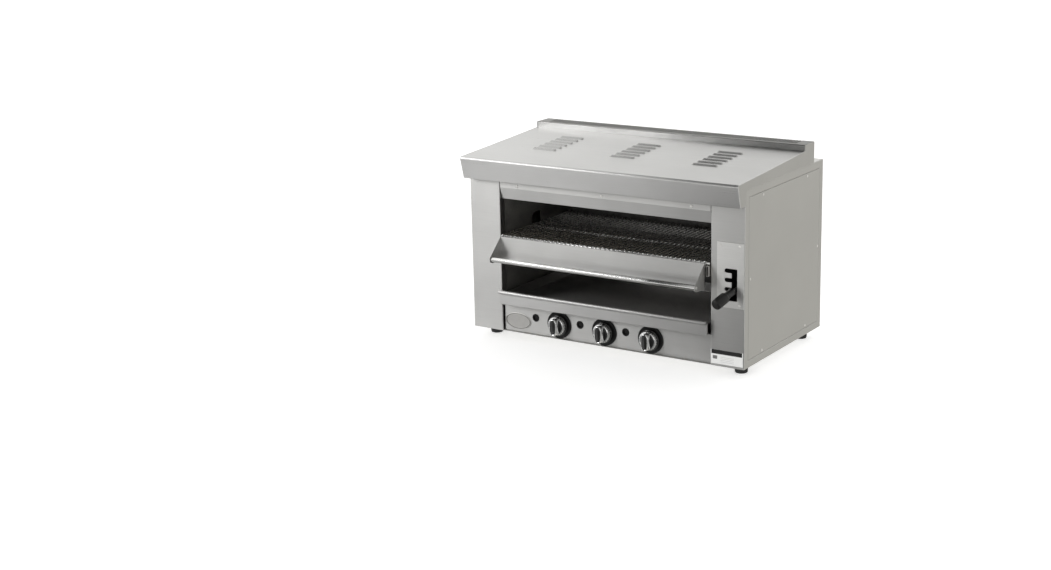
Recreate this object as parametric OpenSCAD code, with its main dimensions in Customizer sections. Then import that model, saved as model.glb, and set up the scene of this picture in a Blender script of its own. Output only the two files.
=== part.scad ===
// Counter-top gas salamander broiler: three infra-red burners under a sloping
// hood, a wire rack that a lever raises in four steps and that pulls out, a
// drip tray, three gas taps and a slotted flue riser.
// Millimetres. +Z is up, the front faces -Y, and +X is the lever side.
// Modules are drawn from the front post plane (y = 0) and the underside of
// the body (z = 0), and placed() then moves them to the origin, which is on
// the floor under the middle of the overall depth.

/* [Body] */
// Width over the side casings
body_w = 914; // [880:1:1000]
// Depth from the front posts to the back panel
body_d = 500; // [490:1:560]
// Height of the casings, without feet
body_h = 510; // [505:1:530]
// Width of each front post
post_w = 105; // [100:1:108]
// Thickness of the casing sheets
sheet = 2; // [1.5:0.1:2.2]
// Height of the rubber feet
foot_h = 28; // [20:1:60]
// Radius of the rubber feet
foot_r = 21; // [16:1:24]

/* [Hood] */
// How far the top of the fascia stands in front of the posts
hood_reach = 49; // [40:1:60]
// How far the fascia slopes in towards its lower edge
fascia_slope = 18; // [10:1:24]
// Height of the fascia's lower edge above the underside of the body
fascia_z = 465; // [460:1:472]
// Height of the fold between fascia and top
hood_front_z = 531; // [526:1:536]
// Height of the top sheet where it meets the riser
hood_rear_z = 555; // [548:1:560]
// Distance of the riser's front wall behind the posts
riser_y = 372; // [360:1:380]
// Depth of the riser
riser_d = 62; // [55:1:70]
// Height of the riser's top
riser_top = 572.5; // [566:0.5:590]
// Number of slots in the flue grille
flue_slots = 89; // [40:1:89]
// Distance between flue slots
flue_pitch = 9.5; // [9:0.1:9.5]

/* [Rack] */
// Number of rods in the rack
rack_rods = 46; // [20:1:46]
// Distance between rods
rod_pitch = 15; // [12:0.5:15]
// Diameter of a rack rod
rod_d = 5.5; // [4:0.5:6]
// Height of the rods' centre lines in the resting notch
rack_z = 299; // [296:1:302]
// Lift of the rack for one notch of the lever
notch_lift = 14; // [10:0.5:14]
// Radius of the handle tube on the rack
handle_r = 8; // [6:0.5:9]

/* [Lever] */
// Distance of the lift shaft behind the posts
shaft_y = 428; // [424:1:434]
// Height of the lift shaft
shaft_z = 245; // [243:1:247]
// Radius of the lift shaft
shaft_r = 8; // [7:0.5:9]
// Distance of the lift pins behind the posts
lift_pin_y = 202; // [200:1:204]
// Drop of the lever rod from the shaft to the gate, at rest
lever_drop = 18; // [14:1:20]
// Radius of the lever rod
lever_r = 5; // [4:0.5:5]

/* [Controls] */
// Distance between knobs
knob_pitch = 155; // [120:1:165]
// Height of the knobs' axes
knob_z = 43.5; // [42:0.5:45]
// Radius of the knob
knob_r = 31; // [24:1:34]
// Radius of the bezel behind each knob
bezel_r = 41; // [36:0.5:41]
// Radius of the rear gas inlet, a three-quarter-inch pipe thread
inlet_r = 13.33; // [10.6:0.01:13.33]

/* [Hidden] */
$fn = 48;

// General clearances
gap = 0.2;
eps = 0.1;

// Overall depth and origin
grip_reach = 91;
inlet_reach = 14;
origin_y = (body_d + inlet_reach - grip_reach) / 2;

// Body
half_w = body_w / 2;
post_in = half_w - post_w;
post_flange = 24;
foot_x = half_w - 40;
foot_front_y = 62;
foot_rear_y = body_d - 50;
stud_r = 4;
kit_hole_r = 4.5;
kit_hole_x = 380;
kit_hole_y = 150;
pan_flange = 18;

// Side cover: an inset sheet screwed to a ledge
cover_y = [24, body_d - 22];
cover_z = [22, body_h - 24];
cover_t = 1.6;
cover_seam = 1;
ledge_w = 26;

// Cavity
liner_x = post_in + 4;
liner_t = 2;
liner_z = [76, 480];
liner_back_y = 402;
arm_slot_y = [178, 226];
arm_slot_z = [205, 328];
arm_slot_chamfer = 12;

// Burners
burner_pitch = 233;
burner_half_w = 110;
burner_y = [32, 380];
burner_z = [408, 452];
burner_wall = 2;
tile_z = [409, 421];
screen_z = 403.2;
mixer_r = 16;
mixer_z = 434;
burner_xs = [-burner_pitch, 0, burner_pitch];

// Controls
knob_xs = [-knob_pitch, 0, knob_pitch];
panel_y = 8;
panel_top = 86;
sight_dx = -83;
sight_z = 53;
sight_r = 12;
stem_r = 5;
stem_clear = 0.06;
valve_y = [20, 48];
manifold_r = 11;
manifold_y = 60;
manifold_x = 340;
tube_r = 4.5;
tube_z = 70;
tube_rear_y = 465;
pilot_r = 3;
pilot_rear_y = 480;
pilot_dx = -30;

// Tray
tray_half_w = 346;
tray_y = [-15, 392];
tray_z = [88, 120];
tray_face_half_w = 349.5;
tray_face_z = [87, 131];
tray_t = 1.5;
lip_r = 5.5;
lip_y = -21;

// Lever and gate
pin_reach = shaft_y - lift_pin_y;
step_angle = notch_lift / pin_reach * 180 / PI;
rest_angle = -atan(lever_drop / shaft_y);
notch_steps = [-1, 0, 1, 2];
function notch_z(step) = shaft_z + shaft_y * tan(rest_angle + step * step_angle);
lever_x = 426;
lever_in = 24;
gate_x = [372, 455];
gate_z = [174, 360];
gate_t = 2.4;
gate_slot_h = 12;
spine_half_w = 8.5;
post_window_x = [386, 445];
post_window_z = [184, 300];
pivot_y = 396;
pivot_pin_r = 4;
function lever_line_z(y) = shaft_z + (shaft_y - y) * tan(rest_angle);
grip_start_y = -12;
grip_vector = [-15, -73, -25];
sleeve_len = 36;
sleeve_r = 11;
barrel_r = 15.5;

// Rack
rail_x = [343.5, 350.8];
rail_y = [-12, 366];
rail_z = [258, 288];
rail_wall = 1.5;
slider_x = [349, 372];
slider_y = [180.5, 223.5];
slider_z = [225, 285];
pin_r = 4;
pin_slot_h = 4.3;
rear_bar_d = 8;
bar_r = 4;
cross_z = rack_z - rod_d / 2 - bar_r + 0.4;
bar_ys = [0, 150, 345];
bar_half_w = 350;
rod_y = [-13, 362];
splash_y = -17.5;
splash_half_w = 342;
splash_z = [222, 296];
splash_t = 1.5;
handle_y = -66;
handle_z = 237;

// Louvres in the hood
louvre_xs = [-268, 0, 268];
louvre_rows = 6;
louvre_first_y = 112;
louvre_pitch = 30.8;
louvre_len = 80;
louvre_d = 11;
louvre_rise = 4.5;

// ---------- helpers ----------

module placed() {
  translate([0, -origin_y, foot_h]) children();
}

module block(x, y, z) {
  translate([x[0], y[0], z[0]]) cube([x[1] - x[0], y[1] - y[0], z[1] - z[0]]);
}

module bar_x(x0, x1, y, z, r) {
  translate([x0, y, z]) rotate([0, 90, 0]) cylinder(h = x1 - x0, r = r);
}

module bar_y(y0, y1, x, z, r) {
  translate([x, y0, z]) rotate([-90, 0, 0]) cylinder(h = y1 - y0, r = r);
}

module bar_z(z0, z1, x, y, r) {
  translate([x, y, z0]) cylinder(h = z1 - z0, r = r);
}

// A profile drawn in Y and Z, drawn out along X from x0
module profile_yz(points, x0, length) {
  translate([x0, 0, 0]) rotate([90, 0, 90]) linear_extrude(length) polygon(points);
}

// A round bar along any line, from point a to point b
module bar_between(a, b, r) {
  d = b - a;
  translate(a) rotate([0, acos(d[2] / norm(d)), atan2(d[1], d[0])]) cylinder(h = norm(d), r = r);
}

// A bent tube: round bars with a ball in each corner
module bent_tube(route, r) {
  union() {
    for (i = [0 : len(route) - 2]) bar_between(route[i], route[i + 1], r);
    for (i = [1 : len(route) - 2]) translate(route[i]) sphere(r = r);
  }
}

// Points on an arc about c, from angle a0 to a1
function arc(c, r, a0, a1, n = 6) = [
  for (i = [0 : n]) [c[0] + r * cos(a0 + (a1 - a0) * i / n), c[1] + r * sin(a0 + (a1 - a0) * i / n)]
];

module screw_head_x(x, y, z, side) {
  x0 = side > 0 ? x : x - 1.6;
  bar_x(x0, x0 + 1.6, y, z, 3.6);
}

module screw_head_y(x, y, z) {
  bar_y(y - 1.8, y, x, z, 3.6);
}

// ---------- base and casings ----------

module base_pan() {
  color("lightgray") placed() difference() {
    union() {
      block([-half_w + 4, half_w - 4], [2.2, body_d - 2.2], [0, sheet]);
      for (s = [-1, 1]) {
        x0 = s > 0 ? half_w - 6 : -half_w + 4;
        block([x0, x0 + sheet], [24, body_d - 2.2], [0, pan_flange]);
      }
      block([-half_w + 4, half_w - 4], [body_d - 4.2, body_d - 2.2], [0, pan_flange]);
    }
    for (x = [-kit_hole_x, kit_hole_x]) for (y = [-kit_hole_y, kit_hole_y])
      bar_z(-1, sheet + 1, x, body_d / 2 + y, kit_hole_r);
    for (x = [-foot_x, foot_x]) for (y = [foot_front_y, foot_rear_y])
      bar_z(-1, sheet + 1, x, y, stud_r + gap);
  }
}

module feet() {
  color("black") placed() for (x = [-foot_x, foot_x]) for (y = [foot_front_y, foot_rear_y])
    translate([x, y, -foot_h]) union() {
      cylinder(h = foot_h, r1 = foot_r - 3, r2 = foot_r);
      cylinder(h = foot_h + 14, r = stud_r);
    }
}

module side_casing(side) {
  mirror([side < 0 ? 1 : 0, 0, 0]) union() {
    difference() {
      block([half_w - sheet, half_w], [sheet + gap, body_d], [0, body_h]);
      block([half_w - 3, half_w + 1], [cover_y[0] - cover_seam, cover_y[1] + cover_seam],
            [cover_z[0] - cover_seam, cover_z[1] + cover_seam]);
    }
    difference() {
      block([half_w - sheet - 1.7, half_w - sheet], [cover_y[0] - 8, cover_y[1] + 8],
            [cover_z[0] - 8, cover_z[1] + 8]);
      block([half_w - 5, half_w], [cover_y[0] + ledge_w, cover_y[1] - ledge_w],
            [cover_z[0] + ledge_w, cover_z[1] - ledge_w]);
    }
  }
}

module side_casing_left() {
  color("silver") placed() side_casing(-1);
}

module side_casing_right() {
  color("silver") placed() side_casing(1);
}

module side_cover(side) {
  mirror([side < 0 ? 1 : 0, 0, 0])
    block([half_w - sheet + gap, half_w - sheet + gap + cover_t], cover_y, cover_z);
}

module side_cover_left() {
  color("silver") placed() side_cover(-1);
}

module side_cover_right() {
  color("silver") placed() side_cover(1);
}

// Back sheet with a vent row, a pipe hole and a ledge over the space behind the riser
module back_panel() {
  color("silver") placed() difference() {
    union() {
      block([-half_w + 2.2, half_w - 2.2], [body_d - sheet, body_d], [sheet + gap, body_h]);
      block([-half_w + 2.2, half_w - 2.2], [riser_y + riser_d + 2.2, body_d], [body_h - sheet, body_h]);
    }
    bar_y(body_d - 5, body_d + 5, manifold_x, knob_z, inlet_r + 1.5);
    for (i = [-7 : 7]) block([i * 50 - 16, i * 50 + 16], [body_d - 5, body_d + 5], [120, 126]);
    for (i = [-7 : 7]) block([i * 50 - 16, i * 50 + 16], [body_d - 5, body_d + 5], [138, 144]);
  }
}

module front_post(side) {
  mirror([side < 0 ? 1 : 0, 0, 0]) union() {
    block([post_in, half_w], [0, sheet], [0, body_h]);
    block([post_in, post_in + sheet], [0, post_flange], [sheet + gap, body_h]);
    block([half_w - 6, half_w - 4], [0, 20], [sheet + gap, body_h]);
  }
}

module front_post_left() {
  color("silver") placed() front_post(-1);
}

// The lever's post has a window behind the gate plate
module front_post_right() {
  color("silver") placed() difference() {
    front_post(1);
    block(post_window_x, [-1, 30], post_window_z);
  }
}

// Comb-shaped gate: a spine with a notch for each rack height
module gate_slot() {
  top = notch_z(2) + gate_slot_h / 2;
  bottom = notch_z(-1) - gate_slot_h / 2;
  notch_end = lever_x - lever_in - lever_r - 1 + gate_slot_h / 2;
  union() {
    block([lever_x - spine_half_w, lever_x + spine_half_w], [-6, 6], [bottom, top]);
    for (step = notch_steps) {
      z = notch_z(step);
      block([notch_end, lever_x], [-6, 6], [z - gate_slot_h / 2, z + gate_slot_h / 2]);
      bar_y(-6, 6, notch_end, z, gate_slot_h / 2);
    }
  }
}

module gate_plate() {
  color("gainsboro") placed() difference() {
    block(gate_x, [-gate_t - eps, -eps], gate_z);
    gate_slot();
  }
}

// ---------- hood and flue ----------

fold_r = 7;
top_slope = atan((hood_rear_z - hood_front_z) / (riser_y + hood_reach));
fascia_lean = atan(fascia_slope / (hood_front_z - fascia_z));
hood_t = 1.5;
fold_c = [-hood_reach + fold_r, hood_front_z - fold_r];

hood_profile = concat(
  [[-1, fascia_z + hood_t], [-1, fascia_z]],
  [[-hood_reach + fascia_slope, fascia_z]],
  arc(fold_c, fold_r, 180 + fascia_lean, 90 + top_slope),
  [[riser_y, hood_rear_z], [riser_y, hood_rear_z - hood_t]],
  arc(fold_c, fold_r - hood_t, 90 + top_slope, 180 + fascia_lean),
  [[-hood_reach + fascia_slope + hood_t, fascia_z + hood_t]]
);

hood_side_profile = concat(
  [[-gap, fascia_z], [-hood_reach + fascia_slope, fascia_z]],
  arc(fold_c, fold_r, 180 + fascia_lean, 90 + top_slope),
  [
    [riser_y, hood_rear_z], [riser_y, riser_top], [riser_y + riser_d, riser_top],
    [riser_y + riser_d, body_h + gap], [-gap, body_h + gap]
  ]
);

function top_z(y) = hood_rear_z - (riser_y - y) * tan(top_slope);

// One louvre flap: a ramp folded up along its front edge and open at the back
module louvre_flap(x, y) {
  z = top_z(y);
  profile_yz([
    [y - 0.5, z - 1.2], [y - 0.5, z], [y + louvre_d * 0.55, z + louvre_rise * 0.75],
    [y + louvre_d, z + louvre_rise], [y + louvre_d, z + louvre_rise - 1.1],
    [y + louvre_d * 0.55, z + louvre_rise * 0.75 - 1.2]
  ], x - louvre_len / 2, louvre_len);
}

module hood() {
  color("lightgray") placed() union() {
    difference() {
      profile_yz(hood_profile, -half_w, body_w);
      for (x = louvre_xs) for (i = [0 : louvre_rows - 1]) {
        y = louvre_first_y + i * louvre_pitch;
        block([x - louvre_len / 2, x + louvre_len / 2], [y, y + louvre_d], [hood_front_z - 5, hood_rear_z + 9]);
      }
    }
    for (x = louvre_xs) for (i = [0 : louvre_rows - 1]) louvre_flap(x, louvre_first_y + i * louvre_pitch);
    profile_yz(hood_side_profile, half_w - eps, hood_t + eps);
    profile_yz(hood_side_profile, -half_w - hood_t, hood_t + eps);
  }
}

module flue_riser() {
  color("lightgray") placed() difference() {
    block([-half_w + 0.5, half_w - 0.5], [riser_y + gap, riser_y + riser_d], [body_h + 2, riser_top - 1.7]);
    block([-half_w + 2, half_w - 2], [riser_y + 1.7, riser_y + riser_d - 1.5], [body_h, riser_top]);
  }
}

module flue_grille() {
  slot_w = flue_pitch / 2;
  span = (flue_slots - 1) * flue_pitch / 2;
  rear = riser_y + riser_d;
  color("lightgray") placed() difference() {
    union() {
      block([-half_w + 0.5, half_w - 0.5], [riser_y + gap, rear + 1.8], [riser_top - 1.5, riser_top]);
      block([-half_w + 0.5, half_w - 0.5], [rear + gap, rear + 1.8], [riser_top - 14, riser_top]);
    }
    for (i = [0 : flue_slots - 1]) {
      x = -span + i * flue_pitch;
      block([x - slot_w / 2, x + slot_w / 2], [riser_y + 11, rear + 4], [riser_top - 8, riser_top + 1]);
    }
  }
}

// ---------- cavity ----------

module heat_deflector() {
  color("silver") placed() profile_yz([
    [1, 476], [1, 441], [10.5, 406], [24, 403.5], [24.2, 405], [12, 407.4], [2.5, 441.4], [2.5, 476]
  ], -post_in + 1.5, 2 * post_in - 3);
}

module front_header() {
  color("darkgray") placed() union() {
    block([-post_in + 1, post_in - 1], [2.7, 4.7], [443, body_h - 2]);
    block([-post_in + 1, post_in - 1], [2.7, 26], [body_h - 4, body_h - 2]);
  }
}

function arm_slot() = [
  [arm_slot_y[0], arm_slot_z[0]], [arm_slot_y[1], arm_slot_z[0]], [arm_slot_y[1], arm_slot_z[1]],
  [arm_slot_y[0] + arm_slot_chamfer, arm_slot_z[1]], [arm_slot_y[0], arm_slot_z[1] - arm_slot_chamfer]
];

module liner_side(side) {
  mirror([side < 0 ? 1 : 0, 0, 0]) difference() {
    block([liner_x, liner_x + liner_t], [3, liner_back_y + 8], liner_z);
    profile_yz(arm_slot(), liner_x - 1, liner_t + 2);
  }
}

module liner_left() {
  color("dimgray") placed() liner_side(-1);
}

module liner_right() {
  color("dimgray") placed() liner_side(1);
}

module liner_back() {
  color("dimgray") placed() difference() {
    block([-liner_x + gap, liner_x - gap], [liner_back_y, liner_back_y + liner_t], [liner_z[0], 458]);
    for (x = burner_xs) bar_y(liner_back_y - 2, liner_back_y + 4, x, mixer_z, mixer_r + 1);
    for (x = burner_xs) bar_y(liner_back_y - 2, liner_back_y + 4, x + pilot_dx, 414, pilot_r + 1);
  }
}

// Shelf that carries the tray on two ribs and shields the gas parts
module tray_shelf() {
  color("dimgray") placed() union() {
    block([-liner_x + gap, liner_x - gap], [post_flange + 1, liner_back_y - gap], [82, 84]);
    for (x = [-320, 320]) block([x - 8, x + 8], [post_flange + 2, 395], [83, 87.7]);
  }
}

module burner_frame() {
  color("dimgray") placed() union() {
    for (y = [26, 384]) {
      block([-liner_x + gap, liner_x - gap], [y, y + 8], [405, 407.8]);
    }
    for (x = [-116.5, 116.5]) block([x - 3, x + 3], [27, 391], [405, 407.8]);
  }
}

// ---------- burners ----------

module burner_housing(x) {
  difference() {
    block([x - burner_half_w, x + burner_half_w], burner_y, burner_z);
    block([x - burner_half_w + burner_wall, x + burner_half_w - burner_wall],
          [burner_y[0] + burner_wall, burner_y[1] - burner_wall], [burner_z[0] - 1, burner_z[1] - burner_wall]);
    bar_y(burner_y[1] - 5, burner_y[1] + 5, x, mixer_z, mixer_r - 2);
  }
}

module burner_housing_left() {
  color("slategray") placed() burner_housing(burner_xs[0]);
}

module burner_housing_mid() {
  color("slategray") placed() burner_housing(burner_xs[1]);
}

module burner_housing_right() {
  color("slategray") placed() burner_housing(burner_xs[2]);
}

module burner_tile(x) {
  block([x - burner_half_w + 3, x + burner_half_w - 3], [burner_y[0] + 3, burner_y[1] - 3], tile_z);
}

module burner_tile_left() {
  color("oldlace") placed() burner_tile(burner_xs[0]);
}

module burner_tile_mid() {
  color("oldlace") placed() burner_tile(burner_xs[1]);
}

module burner_tile_right() {
  color("oldlace") placed() burner_tile(burner_xs[2]);
}

// A rod grid below each tile, hung from the burner's edges
module burner_screens() {
  color("gray") placed() for (x = burner_xs) union() {
    for (s = [-100, 100]) bar_y(40, 372, x + s, screen_z, 2);
    for (i = [0 : 10]) bar_x(x - 104, x + 104, 46 + i * 32, screen_z - 1.2, 1.4);
  }
}

module insulation_board() {
  color("wheat") placed() block([-345, 345], [30, 384], [burner_z[1] + gap, burner_z[1] + 22]);
}

// ---------- controls and gas ----------

module control_panel() {
  color("silver") placed() difference() {
    union() {
      block([-post_in + 3.5, post_in - 1], [panel_y, panel_y + sheet], [sheet + gap, panel_top]);
      block([-post_in + 3.5, post_in - 1], [panel_y, 16], [sheet + gap, sheet + gap + 1.5]);
    }
    for (x = knob_xs) {
      bar_y(0, 20, x, knob_z, stem_r + 2);
      bar_y(0, 20, x + sight_dx, sight_z, sight_r - 2);
    }
  }
}

module knob_bezels() {
  color("black") placed() for (x = knob_xs) difference() {
    bar_y(panel_y - 3.6, panel_y - gap, x, knob_z, bezel_r);
    bar_y(0, 20, x, knob_z, stem_r + 2);
  }
}

module sight_plugs() {
  color("black") placed() for (x = knob_xs) difference() {
    union() {
      bar_y(panel_y - 1.4, panel_y - gap / 2, x + sight_dx, sight_z, sight_r);
      bar_y(panel_y - 1.4, panel_y + 8, x + sight_dx, sight_z, sight_r - 2.3);
    }
    bar_y(0, 14, x + sight_dx, sight_z, sight_r - 4.5);
  }
}

module badge() {
  color("gainsboro") placed() translate([-post_in + 51, panel_y - gap, 35])
    rotate([90, 0, 0]) linear_extrude(1.2) scale([46, 25]) circle(r = 1, $fn = 72);
}

module rating_plate() {
  color("white") placed() block([post_in + 1.5, half_w - 4], [-0.9, -eps], [7, 48]);
}

module gas_manifold() {
  color("goldenrod") placed() bent_tube([
    [-knob_pitch - 40, manifold_y, knob_z], [manifold_x, manifold_y, knob_z],
    [manifold_x, body_d - 22, knob_z]
  ], manifold_r);
}

module gas_inlet() {
  color("goldenrod") placed() union() {
    bar_y(body_d - 8, body_d + inlet_reach, manifold_x, knob_z, inlet_r);
    bar_y(body_d - 8, body_d + 0.5, manifold_x, knob_z, inlet_r + 1);
    intersection() {
      translate([manifold_x, body_d - 22 + gap, knob_z]) rotate([-90, 0, 0])
        cylinder(h = 15, r = 19, $fn = 6);
      block([manifold_x - 30, manifold_x + 30], [0, body_d], [4, 90]);
    }
  }
}

module gas_valves() {
  color("goldenrod") placed() for (x = knob_xs) difference() {
    union() {
      block([x - 13, x + 13], valve_y, [knob_z - 13, knob_z + 13]);
      bar_y(valve_y[0] - 4, valve_y[0] + 1, x, knob_z, 11);
      bar_y(valve_y[1] - 1, manifold_y - manifold_r + 2, x, knob_z, 6);
    }
    bar_y(valve_y[0] - 5, valve_y[0] + 16, x, knob_z, stem_r + stem_clear);
  }
}

module supply_tubes() {
  color("silver") placed() for (i = [0 : 2]) {
    xk = knob_xs[i];
    xb = burner_xs[i];
    side = xb == xk ? 0 : (xb > xk ? 1 : -1);
    ends = [[xk, 34, knob_z + 13 + gap], [xk, 34, tube_z], [xk, tube_rear_y, tube_z]];
    rise = [[xb, tube_rear_y, tube_z], [xb, tube_rear_y, mixer_z], [xb, 452, mixer_z]];
    route = side == 0 ? concat([ends[0], ends[1]], rise) : concat(ends, rise);
    bent_tube(route, tube_r);
  }
}

module pilot_tubes() {
  color("goldenrod") placed() for (i = [0 : 2]) {
    xk = knob_xs[i] + pilot_dx;
    xb = burner_xs[i] + pilot_dx;
    start = [xk, manifold_y + manifold_r + gap, knob_z];
    rear = [xk, pilot_rear_y, knob_z];
    rise = [[xb, pilot_rear_y, knob_z], [xb, pilot_rear_y, 414], [xb, 394, 414]];
    route = xb == xk ? concat([start], rise) : concat([start, rear], rise);
    bent_tube(route, pilot_r);
  }
}

// Brass jet and mixing tube behind each burner
module mixer_tubes() {
  color("goldenrod") placed() for (x = burner_xs) union() {
    difference() {
      bar_y(burner_y[1] + gap, 428, x, mixer_z, mixer_r);
      bar_y(burner_y[1], 418, x, mixer_z, mixer_r - 2);
    }
    bar_y(427, 451.8, x, mixer_z, 8);
  }
}

// ---------- lift and lever ----------

module shaft_brackets() {
  color("gray") placed() for (s = [-1, 1]) mirror([s < 0 ? 1 : 0, 0, 0]) difference() {
    union() {
      block([liner_x + 5, liner_x + 9], [shaft_y - 20, body_d - 4], [shaft_z - 22, shaft_z + 22]);
      block([liner_x + 5, liner_x + 25], [body_d - 4, body_d - sheet - gap], [shaft_z - 22, shaft_z + 22]);
    }
    bar_x(liner_x, liner_x + 20, shaft_y, shaft_z, shaft_r + stem_clear);
  }
}

module lift_shaft() {
  color("gray") placed() bar_x(-406, half_w - 14, shaft_y, shaft_z, shaft_r);
}

// One flat arm on each end of the shaft, with a pin into the slider block
module lift_arms() {
  arm_x = [382, 387];
  color("gray") placed() for (s = [-1, 1]) mirror([s < 0 ? 1 : 0, 0, 0]) difference() {
    union() {
      block(arm_x, [lift_pin_y, shaft_y], [shaft_z - 9, shaft_z + 9]);
      bar_x(arm_x[0], arm_x[1], lift_pin_y, shaft_z, 9);
      bar_x(arm_x[0] - 4, arm_x[1] + 4, shaft_y, shaft_z, 14);
      bar_x(slider_x[1] - 10, arm_x[0] + 1, lift_pin_y, shaft_z, pin_r);
    }
    bar_x(arm_x[0] - 10, arm_x[1] + 10, shaft_y, shaft_z, shaft_r + 0.02);
  }
}

// Fork on the shaft: the lever rod swings sideways on its upright pin
module lever_hub() {
  eye_z = lever_line_z(pivot_y);
  color("gray") placed() difference() {
    union() {
      block([lever_x - 13, lever_x + 13], [shaft_y - 16, shaft_y + 14], [shaft_z - 14, shaft_z + 14]);
      for (z = [eye_z - 11.5, eye_z + 6.5]) {
        block([lever_x - 13, lever_x + 13], [pivot_y, shaft_y - 10], [z, z + 5]);
        bar_z(z, z + 5, lever_x, pivot_y, 13);
      }
      bar_z(eye_z - 14, eye_z + 14, lever_x, pivot_y, pivot_pin_r);
    }
    bar_x(lever_x - 20, lever_x + 20, shaft_y, shaft_z, shaft_r + 0.02);
  }
}

module lever_rod() {
  eye_z = lever_line_z(pivot_y);
  color("silver") placed() difference() {
    union() {
      bar_z(eye_z - 6, eye_z + 6, lever_x, pivot_y, 11);
      bar_between([lever_x, pivot_y - 6, lever_line_z(pivot_y - 6)],
                  [lever_x, grip_start_y - 3, lever_line_z(grip_start_y - 3)], lever_r);
    }
    bar_z(eye_z - 20, eye_z + 20, lever_x, pivot_y, pivot_pin_r + stem_clear);
  }
}

module lever_grip() {
  start = [lever_x, grip_start_y, lever_line_z(grip_start_y)];
  way = grip_vector / norm(grip_vector);
  color("black") placed() difference() {
    union() {
      bar_between(start + way * 2, start + way * sleeve_len, sleeve_r);
      bar_between(start + way * (sleeve_len - 4), start + grip_vector, barrel_r);
    }
    bar_between([lever_x, 0, lever_line_z(0)], [lever_x, grip_start_y - 3.2, lever_line_z(grip_start_y - 3.2)],
                lever_r + 0.05);
  }
}

// ---------- rack ----------

module rack_rail() {
  difference() {
    block(rail_x, rail_y, rail_z);
    block([rail_x[0] + rail_wall, rail_x[1] - rail_wall], [rail_y[0] - 1, rail_y[1] - 4],
          [rail_z[0] + rail_wall, rail_z[1] - rail_wall]);
  }
}

module slider_block() {
  difference() {
    block(slider_x, slider_y, slider_z);
    block([slider_x[0] + 9, slider_x[1] + 1], [lift_pin_y - 5, lift_pin_y + 5],
          [shaft_z - pin_slot_h, shaft_z + pin_slot_h]);
    for (dy = [-5, 5]) bar_x(slider_x[0] + 9, slider_x[1] + 1, lift_pin_y + dy, shaft_z, pin_slot_h);
  }
}

module rack_carriage() {
  color("silver") placed() union() {
    for (s = [-1, 1]) mirror([s < 0 ? 1 : 0, 0, 0]) {
      rack_rail();
      slider_block();
    }
    block([-rail_x[1], rail_x[1]], [rail_y[1] - 1, rail_y[1] + rear_bar_d], [rail_z[0] + 4, rail_z[1] - 4]);
  }
}

module rack_grid() {
  span = (rack_rods - 1) * rod_pitch / 2;
  color("silver") placed() union() {
    for (i = [0 : rack_rods - 1]) bar_y(rod_y[0], rod_y[1], -span + i * rod_pitch, rack_z, rod_d / 2);
    for (y = bar_ys) bar_x(-bar_half_w, bar_half_w, y, cross_z, bar_r);
  }
}

// Splash panel with a gusset at each end, which carries the handle tube
gusset = [
  [splash_y + splash_t, splash_z[1]], [splash_y + splash_t, splash_z[0]], [handle_y + 4, 224.5],
  [-75, 230], [-76, 243], [splash_y, splash_z[1]]
];
gusset_tab = [[splash_y + 0.5, splash_z[1]], [splash_y + 0.5, 284], [7, 284], [7, splash_z[1]]];

module splash_panel() {
  color("silver") placed() union() {
    block([-splash_half_w, splash_half_w], [splash_y, splash_y + splash_t], splash_z);
    for (s = [-1, 1]) mirror([s < 0 ? 1 : 0, 0, 0]) difference() {
      union() {
        profile_yz(gusset, splash_half_w - 1.5, 1.5);
        profile_yz(gusset_tab, splash_half_w - 1.5, 1.5);
      }
      bar_x(splash_half_w - 5, splash_half_w + 5, bar_ys[0], cross_z, bar_r + 0.1);
      bar_x(splash_half_w - 5, splash_half_w + 5, handle_y, handle_z, 2.6);
    }
  }
}

module rack_handle() {
  color("white") placed() difference() {
    bar_x(-splash_half_w + 1.7, splash_half_w - 1.7, handle_y, handle_z, handle_r);
    bar_x(-splash_half_w + 20, splash_half_w - 20, handle_y, handle_z, handle_r - 1.5);
    for (s = [-1, 1]) mirror([s < 0 ? 1 : 0, 0, 0])
      bar_x(splash_half_w - 18, splash_half_w, handle_y, handle_z, 2.6);
  }
}

module handle_screws() {
  color("silver") placed() for (s = [-1, 1]) mirror([s < 0 ? 1 : 0, 0, 0]) union() {
    bar_x(splash_half_w + eps, splash_half_w + 2.4, handle_y, handle_z, 4.6);
    bar_x(splash_half_w - 14, splash_half_w + 1, handle_y, handle_z, 2.5);
  }
}

// ---------- drip tray ----------

module drip_tray() {
  color("silver") placed() union() {
    difference() {
      block([-tray_half_w, tray_half_w], tray_y, tray_z);
      block([-tray_half_w + tray_t, tray_half_w - tray_t], [tray_y[0] + tray_t, tray_y[1] - tray_t],
            [tray_z[0] + tray_t, tray_z[1] + 1]);
    }
    block([-tray_face_half_w, tray_face_half_w], [tray_y[0] - 2, tray_y[0] + tray_t], tray_face_z);
    bar_x(-tray_face_half_w, tray_face_half_w, lip_y, tray_face_z[1] - lip_r, lip_r);
    block([-tray_face_half_w, tray_face_half_w], [lip_y, tray_y[0] - 1], [tray_face_z[1] - 2, tray_face_z[1]]);
  }
}

// ---------- knobs ----------

module knob(x) {
  color("black") placed() difference() {
    union() {
      bar_y(-4, panel_y - 4.2, x, knob_z, knob_r);
      bar_y(-22, -3, x, knob_z, knob_r - 2);
      block([x - 7, x + 7], [-31, -20], [knob_z - knob_r + 5, knob_z + knob_r - 5]);
    }
    bar_y(-14, 20, x, knob_z, stem_r + 0.05);
  }
}

module knob_left() {
  knob(knob_xs[0]);
}

module knob_mid() {
  knob(knob_xs[1]);
}

module knob_right() {
  knob(knob_xs[2]);
}

module valve_stem(x) {
  color("goldenrod") placed() bar_y(-13.5, valve_y[0] + 15, x, knob_z, stem_r);
}

module valve_stem_left() {
  valve_stem(knob_xs[0]);
}

module valve_stem_mid() {
  valve_stem(knob_xs[1]);
}

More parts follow.
